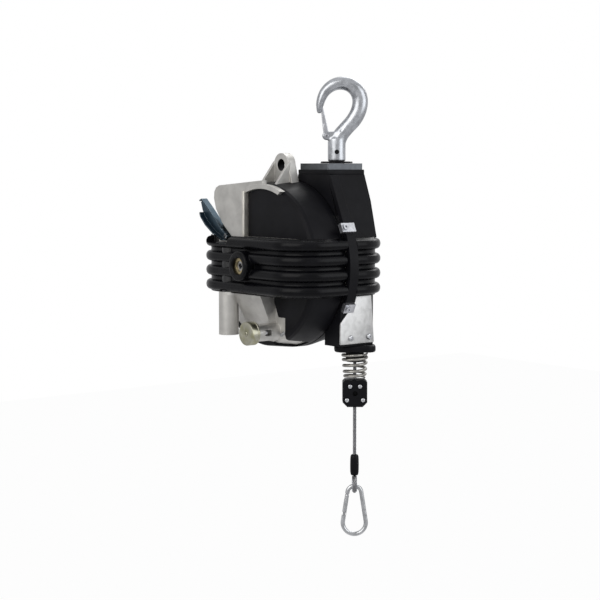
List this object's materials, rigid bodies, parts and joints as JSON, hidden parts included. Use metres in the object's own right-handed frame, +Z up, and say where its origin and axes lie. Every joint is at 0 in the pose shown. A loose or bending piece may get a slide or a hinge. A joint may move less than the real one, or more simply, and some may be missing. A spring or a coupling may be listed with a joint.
{
  "type": "tool balancer",
  "caption": "Spring tool balancer: housed rope drum with worm adjustment, rubber bumper belt, swivel hook, lock knob, lever, buffer spring, wire rope and carabiner.",
  "frame": {"origin": "the point in the bowl of the swivel hook that bears on the support", "axes": "+Z up along the hook's swivel axis, the drum turns about Y, the lock knob and spindle face -Y, the rope hangs on the +X side"},
  "size_m": [0.265, 0.1766, 0.6039],
  "materials": {
    "cast_aluminium": "matte as-cast",
    "black_plastic": "satin moulded",
    "black_rubber": "satin",
    "grey_metal": "satin",
    "zinc_forged": "galvanised",
    "zinc_plate": "zinc plated",
    "satin_plate": "satin",
    "bronze": "oiled",
    "olive_zinc": "yellow zinc",
    "lever_steel": "blue zinc",
    "spring_steel": "warm grey",
    "rope_wire": "stranded",
    "inner_steel": "machined",
    "screw_steel": "zinc plated"
  },
  "bodies": {
    "housing": {"front_casting": "cast_aluminium", "rear_casting": "cast_aluminium", "front_skin": "black_plastic", "rear_skin": "black_plastic", "bumper_belt": "black_rubber", "joint_strap": "black_plastic", "strap_lugs": "zinc_plate", "suspension_bar": "grey_metal", "spindle_bush": "bronze", "rear_cap": "cast_aluminium", "rear_cap_screws": "screw_steel", "guide_body": "black_plastic", "guide_plate": "satin_plate", "guide_screws": "screw_steel", "rope_nozzle": "black_plastic", "lever_screw": "screw_steel", "bottom_screws": "screw_steel"},
    "hook": {"hook": "zinc_forged", "hook_stem": "inner_steel", "hook_cross_pin": "inner_steel", "hook_washer": "black_rubber", "hook_nut": "inner_steel", "thrust_bearing": "inner_steel", "latch_pin": "zinc_plate"},
    "latch": {"hook_latch": "zinc_plate"},
    "arbor": {"spindle": "inner_steel", "worm_wheel": "bronze"},
    "worm": {"worm_screw": "inner_steel"},
    "drum": {"rope_drum": "cast_aluminium", "drum_rope": "rope_wire", "drum_bearings": "inner_steel", "spring_case": "inner_steel", "spring_case_cover": "inner_steel", "power_spring": "spring_steel"},
    "rope_end": {"rope_lead": "rope_wire", "buffer_spring": "spring_steel", "stop_block_front": "black_plastic", "stop_block_rear": "black_plastic", "stop_block_screws": "screw_steel", "rope_tail": "rope_wire", "rope_sleeve": "black_rubber", "rope_eye": "rope_wire", "thimble": "zinc_plate"},
    "carabiner": {"carabiner_body": "zinc_forged", "gate_pin": "screw_steel"},
    "gate": {"carabiner_gate": "zinc_forged"},
    "lock": {"lock_pin": "inner_steel", "lock_detent": "inner_steel", "lock_knob": "olive_zinc", "knob_screw": "screw_steel"},
    "lever": {"brake_lever": "lever_steel"}
  },
  "joints": [
    {"name": "hook_swivel", "type": "hinge", "parent": "housing", "child": "hook", "pos_m": [0, 0, -0.089], "axis": [0, 0, 1], "continuous": true},
    {"name": "latch_open", "type": "hinge", "parent": "hook", "child": "latch", "pos_m": [-0.00831, -0.01064, -0.06], "axis": [-0.788, 0.6157, 0], "range_deg": [0, 30], "stiffness_Nm_per_rad": 0.05, "springref_deg": -28.65},
    {"name": "arbor_turn", "type": "hinge", "parent": "housing", "child": "arbor", "pos_m": [-0.052, -0.034, -0.229], "axis": [0, 1, 0], "continuous": true},
    {"name": "worm_turn", "type": "hinge", "parent": "housing", "child": "worm", "pos_m": [-0.0945, -0.1035, -0.249], "axis": [0, 0, 1], "continuous": true},
    {"name": "drum_spin", "type": "hinge", "parent": "housing", "child": "drum", "pos_m": [-0.052, -0.014, -0.229], "axis": [0, 1, 0], "range_deg": [0, 1260], "stiffness_Nm_per_rad": 0.2, "springref_deg": -2864.79},
    {"name": "rope_travel", "type": "slide", "parent": "housing", "child": "rope_end", "axis": [0, 0, -1], "range_m": [0, 1.98], "deforming": ["rope_lead"]},
    {"name": "carabiner_swing", "type": "hinge", "parent": "rope_end", "child": "carabiner", "pos_m": [0.038, 0, -0.51945], "axis": [0.6157, 0.788, 0], "range_deg": [-75, 75]},
    {"name": "gate_open", "type": "hinge", "parent": "carabiner", "child": "gate", "pos_m": [0.03224, -0.00737, -0.53231], "axis": [0.788, -0.6157, 0], "range_deg": [0, 25], "stiffness_Nm_per_rad": 0.05, "springref_deg": -22.92},
    {"name": "lock_push", "type": "slide", "parent": "housing", "child": "lock", "axis": [0, 1, 0], "range_m": [0, 0.006]},
    {"name": "lever_press", "type": "hinge", "parent": "housing", "child": "lever", "pos_m": [-0.129, -0.084, -0.194], "axis": [0, -1, 0], "range_deg": [0, 8], "stiffness_Nm_per_rad": 0.5, "springref_deg": -22.92}
  ],
  "couplings": [
    {"joint": "arbor_turn", "follows": "worm_turn", "ratio": -0.029412},
    {"joint": "rope_travel", "follows": "drum_spin", "m_per_rad": 0.09}
  ]
}
